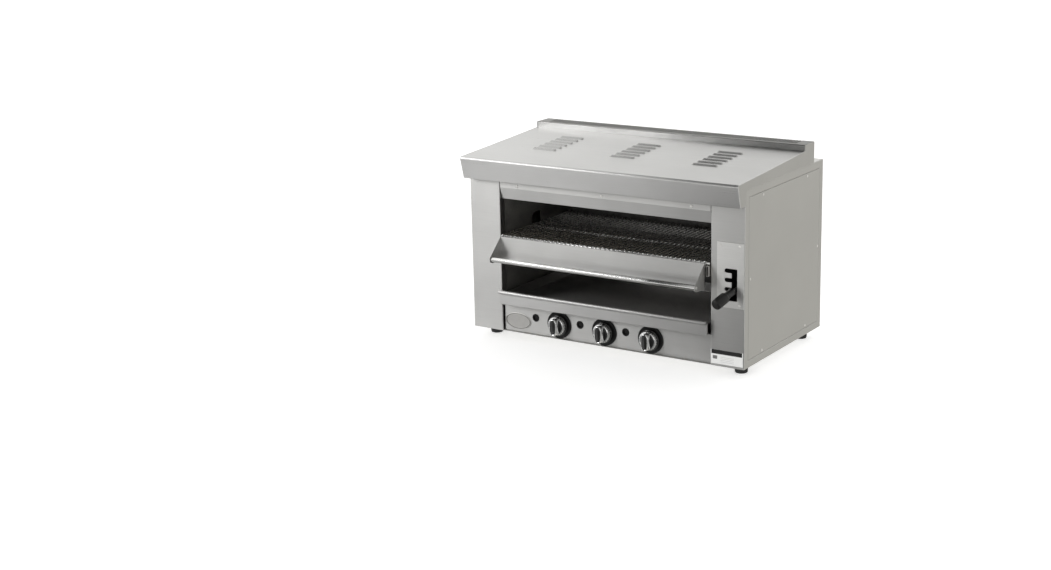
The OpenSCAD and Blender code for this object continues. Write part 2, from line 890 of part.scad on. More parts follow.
module valve_stem_right() {
  valve_stem(knob_xs[2]);
}

// ---------- labels and screws ----------

module cover_screws() {
  mid_y = (cover_y[0] + cover_y[1]) / 2;
  mid_z = (cover_z[0] + cover_z[1]) / 2;
  spots = [
    [mid_y - 142, cover_z[1] - 8], [mid_y + 142, cover_z[1] - 8], [mid_y - 142, cover_z[0] + 8],
    [mid_y + 142, cover_z[0] + 8], [cover_y[0] + 8, mid_z], [cover_y[1] - 8, mid_z]
  ];
  color("silver") placed() for (p = spots) {
    screw_head_x(half_w - sheet + gap + cover_t, p[0], p[1], 1);
    screw_head_x(-half_w + sheet - gap - cover_t, p[0], p[1], -1);
  }
}

module front_screws() {
  color("silver") placed() {
    for (x = [gate_x[0] + 12, gate_x[1] - 13]) for (z = [gate_z[0] + 9, gate_z[1] - 9])
      screw_head_y(x, -gate_t - eps, z);
    for (x = [-290, 0, 290]) screw_head_y(x, 1, 449);
  }
}

base_pan();
feet();
side_casing_left();
side_casing_right();
side_cover_left();
side_cover_right();
back_panel();
front_post_left();
front_post_right();
gate_plate();
hood();
flue_riser();
flue_grille();
heat_deflector();
front_header();
liner_left();
liner_right();
liner_back();
tray_shelf();
burner_frame();
burner_housing_left();
burner_housing_mid();
burner_housing_right();
burner_tile_left();
burner_tile_mid();
burner_tile_right();
burner_screens();
insulation_board();
control_panel();
knob_bezels();
sight_plugs();
badge();
rating_plate();
gas_manifold();
gas_inlet();
gas_valves();
supply_tubes();
pilot_tubes();
mixer_tubes();
shaft_brackets();
cover_screws();
front_screws();
lift_shaft();
lift_arms();
lever_hub();
lever_rod();
lever_grip();
rack_carriage();
rack_grid();
splash_panel();
rack_handle();
handle_screws();
drip_tray();
knob_left();
knob_mid();
knob_right();
valve_stem_left();
valve_stem_mid();
valve_stem_right();
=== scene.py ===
import math

import bmesh
import bpy
from mathutils import Matrix, Vector


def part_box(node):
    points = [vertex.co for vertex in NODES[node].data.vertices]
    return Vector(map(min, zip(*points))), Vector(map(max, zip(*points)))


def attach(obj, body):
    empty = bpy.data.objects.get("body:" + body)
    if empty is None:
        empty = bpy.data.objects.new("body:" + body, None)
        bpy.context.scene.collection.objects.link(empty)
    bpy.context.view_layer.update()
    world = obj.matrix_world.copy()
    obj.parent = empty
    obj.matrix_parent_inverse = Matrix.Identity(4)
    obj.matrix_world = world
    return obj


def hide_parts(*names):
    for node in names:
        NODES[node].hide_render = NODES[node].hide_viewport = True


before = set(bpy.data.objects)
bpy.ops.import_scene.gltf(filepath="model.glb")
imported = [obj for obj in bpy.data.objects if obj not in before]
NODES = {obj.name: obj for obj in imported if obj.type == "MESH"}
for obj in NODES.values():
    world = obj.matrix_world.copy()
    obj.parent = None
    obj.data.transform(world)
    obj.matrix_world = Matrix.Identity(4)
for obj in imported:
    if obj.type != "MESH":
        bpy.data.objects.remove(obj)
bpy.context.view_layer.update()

scene = bpy.context.scene
MM = 0.001
POST_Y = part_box("front_post_left")[0].y
FLOOR_OF_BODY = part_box("base_pan")[0].z


def at(x, y, z):
    """A point given in mm from the middle of the post plane, at the underside of the body."""
    return Vector((x * MM, POST_Y + y * MM, FLOOR_OF_BODY + z * MM))


# ---------- camera ----------

def make_camera():
    cam = bpy.data.objects.new("camera", bpy.data.cameras.new("camera"))
    scene.collection.objects.link(cam)
    azimuth, elevation, roll = map(math.radians, (33.917, 14.942, -1.368))
    forward = Vector((-math.sin(azimuth) * math.cos(elevation),
                      math.cos(azimuth) * math.cos(elevation), -math.sin(elevation)))
    right = forward.cross(Vector((0, 0, 1))).normalized()
    up = right.cross(forward)
    right, up = (right * math.cos(roll) + up * math.sin(roll),
                 up * math.cos(roll) - right * math.sin(roll))
    cam.matrix_world = Matrix.Translation((2.5965, -4.4705, 1.5501)) @ Matrix(
        (right, up, -forward)).transposed().to_4x4()
    cam.data.lens = 61.208
    cam.data.sensor_width = 36
    cam.data.clip_end = 200
    scene.camera = cam


# ---------- light and floor ----------

def soft_box(name, location, aim, size, watts):
    light = bpy.data.objects.new(name, bpy.data.lights.new(name, "AREA"))
    scene.collection.objects.link(light)
    light.data.shape = "RECTANGLE"
    light.data.size, light.data.size_y = size
    light.data.energy = watts
    light.location = location
    light.rotation_mode = "QUATERNION"
    light.rotation_quaternion = (Vector(location) - Vector(aim)).to_track_quat("Z", "Y")
    spared = bpy.data.collections.new(name + "_spares")
    spared.objects.link(bpy.data.objects["floor"])
    light.light_linking.receiver_collection = spared
    spared.collection_objects[0].light_linking.link_state = "EXCLUDE"


def make_world():
    world = bpy.data.worlds.new("studio")
    scene.world = world
    world.use_nodes = True
    nt = world.node_tree
    nt.nodes.clear()
    out = nt.nodes.new("ShaderNodeOutputWorld")
    bg = nt.nodes.new("ShaderNodeBackground")
    coord = nt.nodes.new("ShaderNodeTexCoord")
    split = nt.nodes.new("ShaderNodeSeparateXYZ")
    nt.links.new(coord.outputs["Generated"], split.inputs[0])

    def step(source, low, high):
        n = nt.nodes.new("ShaderNodeMapRange")
        n.interpolation_type = "SMOOTHSTEP"
        n.inputs["From Min"].default_value = low
        n.inputs["From Max"].default_value = high
        nt.links.new(split.outputs[source], n.inputs["Value"])
        return n.outputs["Result"]

    def blend(factor, below, above):
        n = nt.nodes.new("ShaderNodeMix")
        n.data_type = "RGBA"
        nt.links.new(factor, n.inputs["Factor"])
        for key, value in (("A", below), ("B", above)):
            if isinstance(value, tuple):
                n.inputs[key].default_value = (*value, 1)
            else:
                nt.links.new(value, n.inputs[key])
        return n.outputs["Result"]

    dark = blend(step("X", -0.3, -0.15), (0.02, 0.02, 0.02), (0.6, 0.6, 0.59))
    front = blend(step("X", -0.515, -0.485), (1.32, 1.32, 1.31), dark)
    upper = blend(step("Y", 0.44, 0.56), front, (1.25, 1.25, 1.23))
    near = blend(step("X", -0.57, -0.44), (0.92, 0.92, 0.91), (1.34, 1.34, 1.32))
    lower = blend(step("Y", -0.2, 0.4), near, (0.61, 0.6, 0.558))
    nt.links.new(blend(step("Z", -0.06, 0.1), lower, upper), bg.inputs["Color"])
    bg.inputs["Strength"].default_value = 1.0
    nt.links.new(bg.outputs[0], out.inputs[0])


def plate(name, size, location):
    bm = bmesh.new()
    bmesh.ops.create_grid(bm, x_segments=8, y_segments=8, size=1)
    bmesh.ops.scale(bm, vec=(*size, 1), verts=bm.verts)
    bmesh.ops.translate(bm, vec=location, verts=bm.verts)
    mesh = bpy.data.meshes.new(name)
    bm.to_mesh(mesh)
    bm.free()
    o = bpy.data.objects.new(name, mesh)
    scene.collection.objects.link(o)
    m = bpy.data.materials.new(name)
    m.use_nodes = True
    mesh.materials.append(m)
    return o, m.node_tree.nodes["Principled BSDF"]


def make_floor():
    """A pale floor that lights itself a little, and a grey card in front that only the steel's reflections see;
    the card glows brighter to the left, painted light standing in for the lit grey worktop in front of the appliance."""
    floor, bsdf = plate("floor", (60, 60), (0, 0, 0))
    bsdf.inputs["Base Color"].default_value = (0.85, 0.85, 0.85, 1)
    bsdf.inputs["Roughness"].default_value = 0.95
    bsdf.inputs["Emission Color"].default_value = (1, 1, 1, 1)
    bsdf.inputs["Emission Strength"].default_value = 0.55
    floor.visible_glossy = False
    card, bsdf = plate("card", (1.15, 0.45), (-0.45, -0.70, 0.003))
    bsdf.inputs["Base Color"].default_value = (0.25, 0.25, 0.25, 1)
    bsdf.inputs["Metallic"].default_value = 1
    bsdf.inputs["Roughness"].default_value = 0.3
    bsdf.inputs["Emission Color"].default_value = (1, 1, 1, 1)
    nt = card.active_material.node_tree
    coord = nt.nodes.new("ShaderNodeTexCoord")
    split = nt.nodes.new("ShaderNodeSeparateXYZ")
    nt.links.new(coord.outputs["Object"], split.inputs[0])
    # painted light: the card glows, brighter to the left (0.16) than to the right (0.05)
    nt.links.new(ranged(nt, split.outputs["X"], -1.0, 0.1, 0.16, 0.05), bsdf.inputs["Emission Strength"])
    card.visible_camera = False
    card.visible_diffuse = False
    card.visible_transmission = False
    card.visible_shadow = False


# ---------- materials ----------

def blank(name):
    m = bpy.data.materials.new(name)
    m.use_nodes = True
    return m, m.node_tree, m.node_tree.nodes["Principled BSDF"]


def noise(nt, coord, scale, detail=4, rough=0.6):
    mapping = nt.nodes.new("ShaderNodeMapping")
    mapping.inputs["Scale"].default_value = scale
    nt.links.new(coord.outputs["Object"], mapping.inputs["Vector"])
    n = nt.nodes.new("ShaderNodeTexNoise")
    n.inputs["Scale"].default_value = 1
    n.inputs["Detail"].default_value = detail
    n.inputs["Roughness"].default_value = rough
    nt.links.new(mapping.outputs[0], n.inputs["Vector"])
    return n.outputs["Fac"]


def ranged(nt, value, low, high, to_low, to_high):
    n = nt.nodes.new("ShaderNodeMapRange")
    n.inputs["From Min"].default_value = low
    n.inputs["From Max"].default_value = high
    n.inputs["To Min"].default_value = to_low
    n.inputs["To Max"].default_value = to_high
    nt.links.new(value, n.inputs["Value"])
    return n.outputs["Result"]


def math_node(nt, op, a, b):
    n = nt.nodes.new("ShaderNodeMath")
    n.operation = op
    for i, v in enumerate((a, b)):
        if isinstance(v, (int, float)):
            n.inputs[i].default_value = v
        else:
            nt.links.new(v, n.inputs[i])
    return n.outputs[0]


def tinted(nt, colour, factor):
    """colour times a grey factor that varies over the surface."""
    n = nt.nodes.new("ShaderNodeMix")
    n.data_type = "RGBA"
    n.blend_type = "MULTIPLY"
    n.inputs["Factor"].default_value = 1
    n.inputs["A"].default_value = (*colour, 1)
    nt.links.new(factor, n.inputs["B"])
    return n.outputs["Result"]


def add_bump(nt, bsdf, height, strength, distance):
    b = nt.nodes.new("ShaderNodeBump")
    b.inputs["Strength"].default_value = strength
    b.inputs["Distance"].default_value = distance
    nt.links.new(height, b.inputs["Height"])
    nt.links.new(b.outputs[0], bsdf.inputs["Normal"])


FINE, LONG = 900, 9
GRAIN = {"x": (LONG, FINE, FINE), "y": (FINE, LONG, FINE), "z": (FINE, FINE, LONG)}
SMEAR = {"x": (6, 24, 24), "y": (24, 6, 24), "z": (24, 24, 6)}
ACROSS = {"x": (0, 0.3, 1), "y": (0.3, 0, 1), "z": (1, 1, 0)}


def steel(name, colour, rough, grain, contrast=0.1, cloud=0.06, bump=0.12, stretch=0.8):
    """Brushed sheet: fine lines along one axis that spread a highlight across them,
    a slow cloudiness and faint smears."""
    m, nt, bsdf = blank(name)
    coord = nt.nodes.new("ShaderNodeTexCoord")
    lines = noise(nt, coord, GRAIN[grain], 8, 0.72)
    slow = noise(nt, coord, (5, 5, 5), 3, 0.5)
    smear = noise(nt, coord, SMEAR[grain], 5, 0.65)
    shade = math_node(nt, "ADD", ranged(nt, lines, 0.3, 0.7, 1 - contrast, 1),
                      ranged(nt, slow, 0.3, 0.7, -cloud, cloud))
    bsdf.inputs["Metallic"].default_value = 1
    bsdf.inputs["Anisotropic"].default_value = stretch
    tangent = nt.nodes.new("ShaderNodeCombineXYZ")
    for i in range(3):
        tangent.inputs[i].default_value = ACROSS[grain][i]
    nt.links.new(tangent.outputs[0], bsdf.inputs["Tangent"])
    nt.links.new(tinted(nt, colour, shade), bsdf.inputs["Base Color"])
    wander = math_node(nt, "ADD", ranged(nt, lines, 0.3, 0.7, rough - 0.03, rough + 0.03),
                       ranged(nt, smear, 0.35, 0.7, -0.008, 0.012))
    nt.links.new(wander, bsdf.inputs["Roughness"])
    add_bump(nt, bsdf, lines, bump, 0.0004)
    return m


def polished(name, colour, rough, haze=0.05):
    m, nt, bsdf = blank(name)
    coord = nt.nodes.new("ShaderNodeTexCoord")
    fog = noise(nt, coord, (55, 55, 55), 4, 0.6)
    bsdf.inputs["Metallic"].default_value = 1
    nt.links.new(tinted(nt, colour, ranged(nt, fog, 0.3, 0.7, 0.9, 1.0)), bsdf.inputs["Base Color"])
    nt.links.new(ranged(nt, fog, 0.3, 0.7, rough, rough + haze), bsdf.inputs["Roughness"])
    return m


def burnt(name, colour, scorched, rough):
    """Steel that has been near the burners: dull, patchy, darker in places."""
    m, nt, bsdf = blank(name)
    coord = nt.nodes.new("ShaderNodeTexCoord")
    patches = noise(nt, coord, (7, 7, 11), 6, 0.62)
    speck = noise(nt, coord, (190, 190, 190), 3, 0.6)
    mix = nt.nodes.new("ShaderNodeMix")
    mix.data_type = "RGBA"
    nt.links.new(ranged(nt, patches, 0.35, 0.65, 0, 1), mix.inputs["Factor"])
    mix.inputs["A"].default_value = (*colour, 1)
    mix.inputs["B"].default_value = (*scorched, 1)
    nt.links.new(mix.outputs["Result"], bsdf.inputs["Base Color"])
    bsdf.inputs["Metallic"].default_value = 0.35
    nt.links.new(ranged(nt, speck, 0.3, 0.7, rough - 0.08, rough + 0.1), bsdf.inputs["Roughness"])
    add_bump(nt, bsdf, speck, 0.15, 0.0004)
    return m


def moulded(name, colour, rough, pebble=0.1, scale=900, coat=0.0):
    m, nt, bsdf = blank(name)
    coord = nt.nodes.new("ShaderNodeTexCoord")
    skin = noise(nt, coord, (scale,) * 3, 3, 0.6)
    slow = noise(nt, coord, (30, 30, 30), 3, 0.5)
    nt.links.new(tinted(nt, colour, ranged(nt, slow, 0.3, 0.7, 0.8, 1.2)), bsdf.inputs["Base Color"])
    nt.links.new(ranged(nt, skin, 0.3, 0.7, rough - 0.06, rough + 0.08), bsdf.inputs["Roughness"])
    bsdf.inputs["Coat Weight"].default_value = coat
    bsdf.inputs["Coat Roughness"].default_value = 0.12
    bsdf.inputs["Specular IOR Level"].default_value = 0.3
    add_bump(nt, bsdf, skin, pebble, 0.0003)
    return m


def ceramic(name):
    """Burner tile: pale fired clay pierced by a close pattern of fine holes, each darkened by painted shade."""
    m, nt, bsdf = blank(name)
    coord = nt.nodes.new("ShaderNodeTexCoord")
    cells = nt.nodes.new("ShaderNodeTexVoronoi")
    cells.inputs["Scale"].default_value = 330
    cells.inputs["Randomness"].default_value = 0.05
    nt.links.new(coord.outputs["Object"], cells.inputs["Vector"])
    stain = noise(nt, coord, (14, 14, 14), 5, 0.6)
    # painted shade: each hole darkens the clay's colour to about an eighth; the same mask also presses the holes in as
    # bump
    hole_bump_and_shade = ranged(nt, cells.outputs["Distance"], 0.25, 0.4, 0.12, 1)
    shade = math_node(nt, "MULTIPLY", hole_bump_and_shade, ranged(nt, stain, 0.3, 0.7, 0.7, 1))
    nt.links.new(tinted(nt, (0.62, 0.55, 0.45), shade), bsdf.inputs["Base Color"])
    bsdf.inputs["Roughness"].default_value = 0.9
    add_bump(nt, bsdf, hole_bump_and_shade, 0.5, 0.001)
    return m


def label(name, lo, hi):
    """Blank data label: a dark bar over rows of plain grey bars."""
    m, nt, bsdf = blank(name)
    coord = nt.nodes.new("ShaderNodeTexCoord")
    split = nt.nodes.new("ShaderNodeSeparateXYZ")
    nt.links.new(coord.outputs["Object"], split.inputs[0])
    across = ranged(nt, split.outputs["X"], lo.x, hi.x, 0, 1)
    down = ranged(nt, split.outputs["Z"], hi.z, lo.z, 0, 1)

    def inside(value, low, high):
        return math_node(nt, "MULTIPLY", math_node(nt, "GREATER_THAN", value, low),
                         math_node(nt, "LESS_THAN", value, high))

    bar = math_node(nt, "MULTIPLY", inside(across, 0.02, 0.98), inside(down, 0.0, 0.3))
    rows = math_node(nt, "FRACT", math_node(nt, "MULTIPLY", down, 9), 0)
    lines = math_node(nt, "MULTIPLY", inside(rows, 0.35, 0.6),
                      math_node(nt, "MULTIPLY", inside(across, 0.3, 0.72), inside(down, 0.4, 0.93)))
    block = math_node(nt, "MULTIPLY", inside(across, 0.06, 0.2), inside(down, 0.42, 0.66))
    ink = math_node(nt, "MAXIMUM", math_node(nt, "MULTIPLY", bar, 0.985),
                    math_node(nt, "MAXIMUM", math_node(nt, "MULTIPLY", lines, 0.3), math_node(nt, "MULTIPLY", block, 0.8)))
    paper = noise(nt, coord, (400, 400, 400), 3, 0.5)
    shade = math_node(nt, "MULTIPLY", math_node(nt, "SUBTRACT", 1.0, ink), ranged(nt, paper, 0.3, 0.7, 0.93, 1))
    nt.links.new(tinted(nt, (0.86, 0.86, 0.85), shade), bsdf.inputs["Base Color"])
    bsdf.inputs["Roughness"].default_value = 0.38
    return m


def soot_and_shade_steel(name, colour, rough):
    """The riser's steel: brushed outside, painted near black inside below the grille, as the shade inside the flue and
    as soot.
    """
    m = steel(name, colour, rough, "x", contrast=0.06, cloud=0.03, stretch=0.9)
    nt = m.node_tree
    bsdf = nt.nodes["Principled BSDF"]
    low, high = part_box("flue_riser")
    coord = nt.nodes.new("ShaderNodeTexCoord")
    split = nt.nodes.new("ShaderNodeSeparateXYZ")
    nt.links.new(coord.outputs["Object"], split.inputs[0])
    walls = [math_node(nt, "GREATER_THAN", split.outputs["Y"], low.y + 0.9 * MM),
             math_node(nt, "LESS_THAN", split.outputs["Y"], high.y - 0.9 * MM),
             math_node(nt, "GREATER_THAN", split.outputs["X"], low.x + 0.9 * MM),
             math_node(nt, "LESS_THAN", split.outputs["X"], high.x - 0.9 * MM)]
    inner = walls[0]
    for w in walls[1:]:
        inner = math_node(nt, "MULTIPLY", inner, w)
    mix = nt.nodes.new("ShaderNodeMix")
    mix.data_type = "RGBA"
    nt.links.new(inner, mix.inputs["Factor"])
    nt.links.new(bsdf.inputs["Base Color"].links[0].from_socket, mix.inputs["A"])
    # painted shade: the flue's inner walls are made near black, standing for the shade inside the flue and for soot
    mix.inputs["B"].default_value = (0.01, 0.01, 0.01, 1)
    nt.links.new(mix.outputs["Result"], bsdf.inputs["Base Color"])
    return m


M = {
    "front": steel("front_steel", (0.55, 0.547, 0.537), 0.40, "x"),
    # painted light: the gate plate is the posts' brushed steel given a lighter base colour, standing for the light it
    # catches
    "gate": steel("gate_steel_painted_light", (0.78, 0.777, 0.76), 0.44, "x", cloud=0.03),
    "body": steel("body_steel", (0.52, 0.515, 0.50), 0.42, "y", contrast=0.04, cloud=0.02),
    "hood": steel("hood_steel", (0.54, 0.537, 0.53), 0.3, "x", contrast=0.06, cloud=0.03, stretch=0.9),
    # painted shade: the louvres are the hood's steel given a darker base colour, standing for the shade over the
    # pressed louvres
    "louvre": steel("louvre_steel_painted_shade", (0.44, 0.437, 0.43), 0.28, "x", contrast=0.06, cloud=0.02, stretch=0.9),
    "riser": soot_and_shade_steel("riser_steel", (0.55, 0.547, 0.54), 0.22),
    "pan": steel("pan_steel", (0.42, 0.415, 0.41), 0.4, "x", contrast=0.12, cloud=0.1),
    # painted shade: the grille's steel is given a much darker base colour, standing for the shade in its slots
    "grille": steel("grille_steel_painted_shade", (0.26, 0.257, 0.25), 0.4, "x", contrast=0.06, cloud=0.02),
    "tray": steel("tray_steel", (0.51, 0.507, 0.5), 0.36, "x"),
    "rack": steel("rack_steel", (0.55, 0.54, 0.52), 0.35, "y"),
    "dark": burnt("heat_dark_steel", (0.16, 0.155, 0.145), (0.08, 0.078, 0.076), 0.5),
    "burner": burnt("burner_steel", (0.16, 0.15, 0.14), (0.07, 0.06, 0.06), 0.5),
    "shaft": steel("shaft_steel", (0.5, 0.49, 0.48), 0.3, "x"),
    "pipe": burnt("pipe_steel", (0.3, 0.29, 0.28), (0.2, 0.19, 0.18), 0.45),
    "brass": polished("valve_brass", (0.72, 0.52, 0.24), 0.28, 0.12),
    "tube": polished("tube_aluminium", (0.7, 0.7, 0.71), 0.35, 0.1),
    "screw": polished("screw_steel", (0.8, 0.79, 0.77), 0.28, 0.1),
    "chrome": polished("rack_chrome", (0.78, 0.78, 0.77), 0.2, 0.1),
    "handle": polished("handle_chrome", (0.68, 0.68, 0.67), 0.16, 0.06),
    "badge": polished("badge_metal", (0.6, 0.59, 0.57), 0.34, 0.08),
    "plastic": moulded("black_plastic", (0.006, 0.006, 0.006), 0.46, 0.08),
    "grip": moulded("grip_plastic", (0.006, 0.006, 0.006), 0.36, 0.1, coat=0.1),
    "knob": moulded("knob_black", (0.008, 0.008, 0.008), 0.22, 0.03, coat=0.5),
    "knob_chrome": polished("knob_chrome", (0.8, 0.8, 0.8), 0.08, 0.06),
    "rubber": moulded("foot_rubber", (0.012, 0.012, 0.012), 0.62, 0.2, 500),
    "board": moulded("insulation", (0.62, 0.55, 0.42), 0.9, 0.6, 260),
    "tile": ceramic("burner_ceramic"),
    "label": label("label_print", *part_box("rating_plate")),
}

NODE_MATERIAL = {
    "gate": ["gate_plate"],
    "front": ["front_post_left", "front_post_right", "heat_deflector",
              "control_panel", "splash_panel"],
    "body": ["base_pan", "side_casing_left", "side_casing_right", "side_cover_left",
             "side_cover_right", "back_panel", "front_header"],
    "hood": ["hood"],
    "grille": ["flue_grille"],
    "riser": ["flue_riser"],
    "tray": ["drip_tray"],
    "rack": ["rack_carriage"],
    "dark": ["liner_left", "liner_right", "liner_back", "tray_shelf", "burner_frame"],
    "burner": ["burner_housing_left", "burner_housing_mid", "burner_housing_right", "burner_screens"],
    "shaft": ["lift_shaft", "lift_arms", "lever_hub", "lever_rod"],
    "pipe": ["gas_manifold", "gas_inlet", "shaft_brackets", "mixer_tubes"],
    "brass": ["gas_valves", "valve_stem_left", "valve_stem_mid", "valve_stem_right"],
    "tube": ["supply_tubes", "pilot_tubes"],
    "screw": ["cover_screws", "front_screws", "handle_screws"],
    "chrome": ["rack_grid"],
    "handle": ["rack_handle"],
    "badge": ["badge"],
    "plastic": ["knob_bezels", "sight_plugs"],
    "grip": ["lever_grip"],
    "knob": ["knob_left", "knob_mid", "knob_right"],
    "rubber": ["feet"],
    "board": ["insulation_board"],
    "tile": ["burner_tile_left", "burner_tile_mid", "burner_tile_right"],
    "label": ["rating_plate"],
}


def paint_nodes():
    for key, names in NODE_MATERIAL.items():
        for name in names:
            for s in NODES[name].material_slots:
                s.material = M[key]


def soften(node, width, segments=2):
    """Rounds the edges of a CAD node, as a press brake or a file leaves them."""
    o = NODES[node]
    weld = o.modifiers.new("weld", "WELD")
    weld.merge_threshold = 1e-5
    b = o.modifiers.new("edge", "BEVEL")
    b.width = width * MM
    b.segments = segments
    b.limit_method = "ANGLE"
    b.angle_limit = math.radians(40)
    b.harden_normals = False


# ---------- mesh building ----------

def piece(name, bm, material, body, replaces=(), sharp=35):
    bmesh.ops.recalc_face_normals(bm, faces=bm.faces)
    mesh = bpy.data.meshes.new(name)
    bm.to_mesh(mesh)
    bm.free()
    mesh.materials.append(M[material])
    for p in mesh.polygons:
        p.use_smooth = True
    mesh.set_sharp_from_angle(angle=math.radians(sharp))
    o = bpy.data.objects.new(name, mesh)
    scene.collection.objects.link(o)
    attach(o, body)
    if replaces:
        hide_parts(*replaces)
    return o


def lathe(bm, profile, base, axis, segments=48, wave=None):
    """Turns (radius, height) pairs about the axis; wave(angle, radius, height) may move a radius."""
    turn = Vector(axis).to_track_quat("Z", "Y").to_matrix()
    rings = []
    for r, h in profile:
        if r == 0:
            rings.append([bm.verts.new(base + turn @ Vector((0, 0, h * MM)))])
            continue
        ring = []
        for i in range(segments):
            a = 2 * math.pi * i / segments
            q = wave(a, r, h) if wave else r
            ring.append(bm.verts.new(base + turn @ Vector((q * math.cos(a) * MM, q * math.sin(a) * MM, h * MM))))
        rings.append(ring)
    for p, q in zip(rings, rings[1:]):
        for i in range(segments):
            j = (i + 1) % segments
            corners = [p[i % len(p)], p[j % len(p)], q[j % len(q)], q[i % len(q)]]
            bm.faces.new(list(dict.fromkeys(corners)))


def rounded(points, radius, steps=5):
    """A path in a plane with each inner corner (radius per corner) turned into an arc."""
    out = [points[0]]
    for i in range(1, len(points) - 1):
        p, c, n = (Vector(q) for q in (points[i - 1], points[i], points[i + 1]))
        r = radius[i - 1] if isinstance(radius, (list, tuple)) else radius
        u, v = (p - c).normalized(), (n - c).normalized()
        half = u.angle(v) / 2
        cut = r / math.tan(half)
        middle = c + (u + v).normalized() * (r / math.sin(half))
        start, end = c + u * cut - middle, c + v * cut - middle
        sweep = math.pi - 2 * half
        for k in range(steps + 1):
            t = k / steps
            w = (start * math.sin((1 - t) * sweep) + end * math.sin(t * sweep)) / math.sin(sweep)
            out.append(tuple(middle + w))
    out.append(points[-1])
    return out


def folded(bm, path, stations, place, skip=None):
    """A sheet with the given section, drawn through the stations. place(a, b, s) gives a
    point, and skip(i, k) leaves out the face after path point i and station k."""
    grid = [[bm.verts.new(place(a, b, s)) for s in stations] for a, b in path]
    for i in range(len(path) - 1):
        for k in range(len(stations) - 1):
            if not (skip and skip(i, k)):
                bm.faces.new((grid[i][k], grid[i + 1][k], grid[i + 1][k + 1], grid[i][k + 1]))
    return grid


def thicken(o, thickness, offset=-1, edge=0.0, segments=2):
    m = o.modifiers.new("sheet", "SOLIDIFY")
    m.thickness = thickness * MM
    m.offset = offset
    m.use_even_offset = True
    if edge:
        edge_bevel(o, edge, segments)


def edge_bevel(o, width, segments=2, angle=40):
    b = o.modifiers.new("edge", "BEVEL")
    b.width = width * MM
    b.segments = segments
    b.limit_method = "ANGLE"
    b.angle_limit = math.radians(angle)


def flatten_shading(o):
    """Large flat faces keep their own normals, so that only the bends shade round."""
    w = o.modifiers.new("normals", "WEIGHTED_NORMAL")
    w.mode = "FACE_AREA"
    w.weight = 100
    w.keep_sharp = True


def centre(node):
    low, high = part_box(node)
    return (low + high) / 2


# ---------- hood ----------

LOUVRE_X, LOUVRE_Y, LOUVRE_PITCH, LOUVRE_ROWS = (-268, 0, 268), 112, 30.8, 6
LOUVRE_W, LOUVRE_D = 80, 11


def hood_top(y):
    return 555 - (372 - y) * (555 - 531) / (372 + 49)


def make_hood():
    """One folded sheet with closed ends and three groups of pressed louvres."""
    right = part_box("hood")[1].x / MM
    bend = rounded([(-1, 465), (-31, 465), (-49.3, 532), (372, 555.4)], [1.5, 6.5], 7)
    rows = [LOUVRE_Y + i * LOUVRE_PITCH for i in range(LOUVRE_ROWS)]
    top = [(y + d, hood_top(y + d)) for y in rows for d in (0, LOUVRE_D)]
    path = bend[:-1] + top + [(372, hood_top(372))]
    first = len(bend) - 1
    stations = sorted([-right, right, -135, 135, -400, 400] +
                      [x + d for x in LOUVRE_X for d in (-LOUVRE_W / 2, LOUVRE_W / 2)])

    def is_slot(i, k):
        if not (first <= i < first + 2 * LOUVRE_ROWS) or (i - first) % 2:
            return False
        return any(abs((stations[k] + stations[k + 1]) / 2 - x) < 5 for x in LOUVRE_X)

    bm = bmesh.new()
    grid = folded(bm, path, stations, lambda y, z, x: at(x, y, z), is_slot)
    rim = [(372, 572.3), (433.8, 572.3), (433.8, 510.2), (-1, 510.2)]
    for k in (0, -1):
        x = stations[k]
        bm.faces.new([row[k] for row in grid] + [bm.verts.new(at(x, y, z)) for y, z in rim])
    hood = piece("hood_sheet", bm, "hood", "chassis", ["hood"], 30)
    edge_bevel(hood, 2.6, 3, 50)
    thicken(hood, 1.4)
    flatten_shading(hood)

    bm = bmesh.new()
    lift = [(-1.2, -0.25), (0.4, 0.1), (2.2, 0.9), (4.4, 1.9), (6.6, 2.9), (8.8, 3.8), (LOUVRE_D - 0.2, 4.3)]
    edge = LOUVRE_W / 2 + 0.6
    offsets = (-edge, 2 - edge, 4 - edge, 5.5 - edge, 0, edge - 4, edge - 3, edge - 1.8, edge - 0.8)
    for x in LOUVRE_X:
        for y in rows:
            strips = []
            for d, h in lift:
                drop = [h + 0.2, h * 0.35, 0, 0, 0, 0, 0, h * 0.25, h * 0.6]
                strips.append([bm.verts.new(at(x + a, y + d, hood_top(y + d) + h - f)) for a, f in zip(offsets, drop)])
            for p, q in zip(strips, strips[1:]):
                for i in range(8):
                    bm.faces.new((p[i], p[i + 1], q[i + 1], q[i]))
    louvres = piece("hood_louvres", bm, "louvre", "chassis", (), 60)
    thicken(louvres, 1.0)
    flatten_shading(louvres)


# ---------- front ----------

def make_posts():
    for side, node in ((-1, "front_post_left"), (1, "front_post_right")):
        inner, outer = 352.0, 457.0
        path = rounded([(inner, 24), (inner, 0), (outer, 0), (outer, 2.1)], [2.2, 1.9], 5)
        path = path[:7] + [(386, 0), (445, 0)] + path[7:]
        stations = [0, 184, 300, 510] if side > 0 else [0, 170, 340, 510]
        window = (lambda i, k: i == 7 and k == 1) if side > 0 else None
        bm = bmesh.new()
        folded(bm, path, stations, lambda x, y, z: at(side * x, y, z), window)
        post = piece(node + "_sheet", bm, "front", "chassis", [node], 30)
        thicken(post, 1.9)
        flatten_shading(post)


